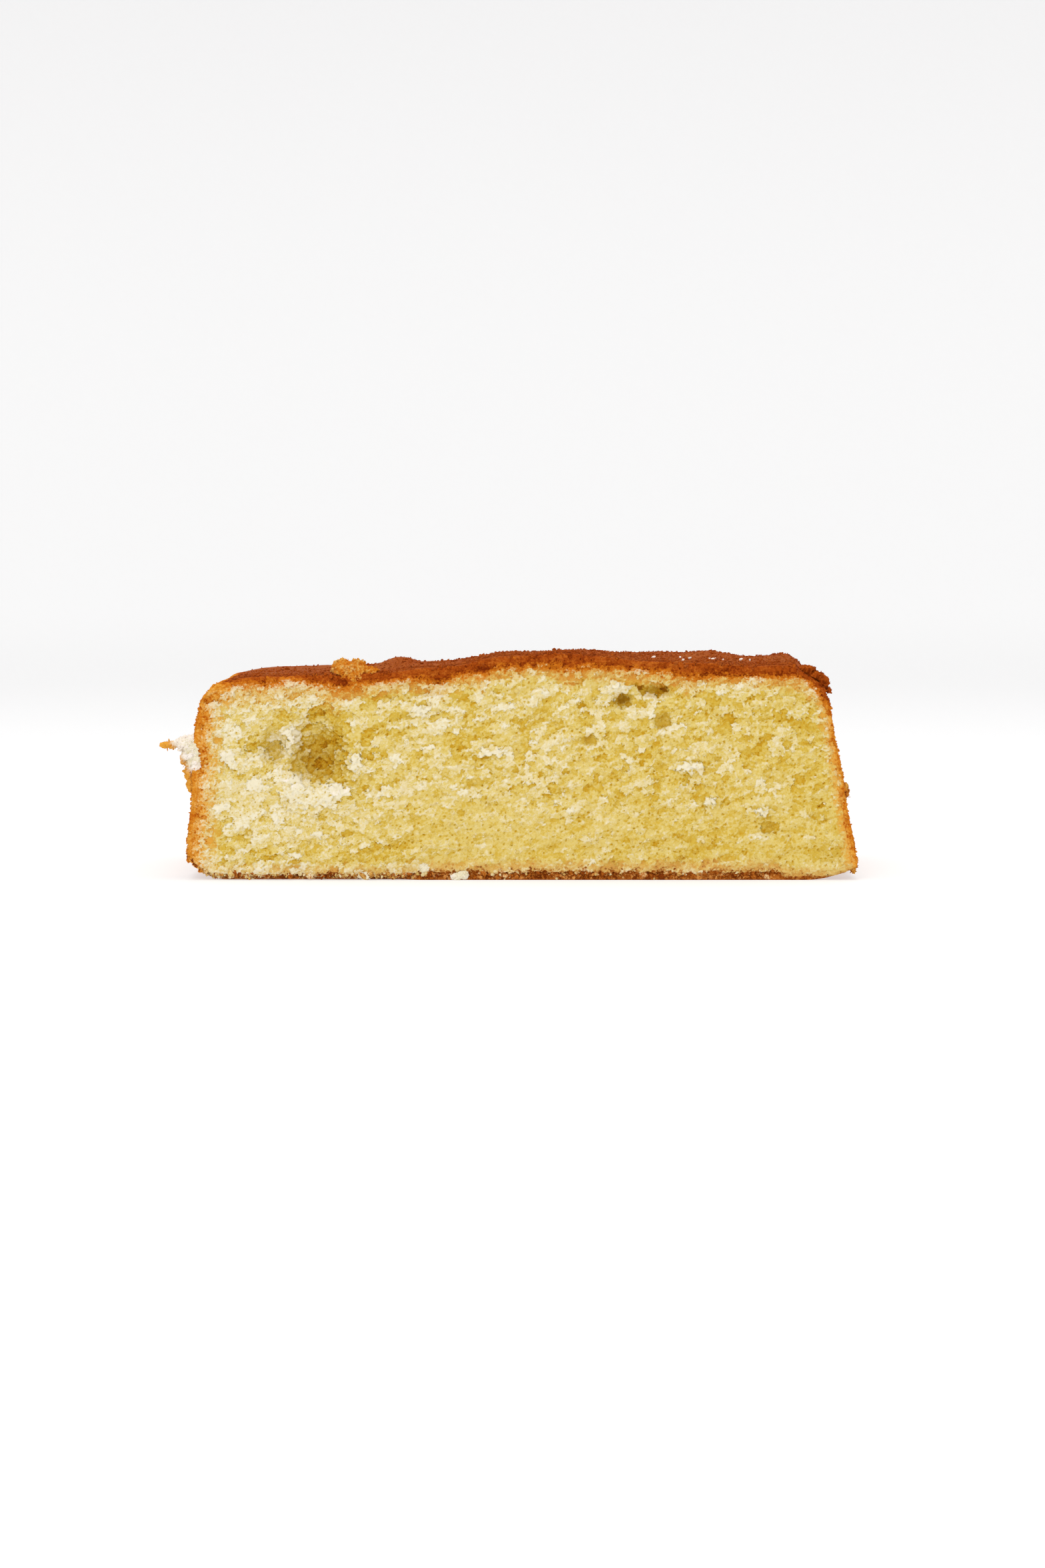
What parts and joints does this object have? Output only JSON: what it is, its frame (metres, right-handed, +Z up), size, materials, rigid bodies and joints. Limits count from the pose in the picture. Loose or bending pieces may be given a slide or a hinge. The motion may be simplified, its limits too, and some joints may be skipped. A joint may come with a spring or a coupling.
{
  "type": "butter cake half",
  "caption": "Half of a square butter cake with its torn crumb side open, baked skin on top and walls, and a flat base.",
  "frame": {"origin": "middle of the flat base, on the table, half way along the cut side and half way between the cut plane and the far wall at the base", "axes": "+X along the cut side, towards the end with the steeper lean; +Y from the cut side into the cake; +Z up"},
  "size_m": [0.1872, 0.0901, 0.0609],
  "materials": {
    "baked_crumb": null
  },
  "bodies": {
    "root": {"cake": "baked_crumb"}
  },
  "joints": []
}
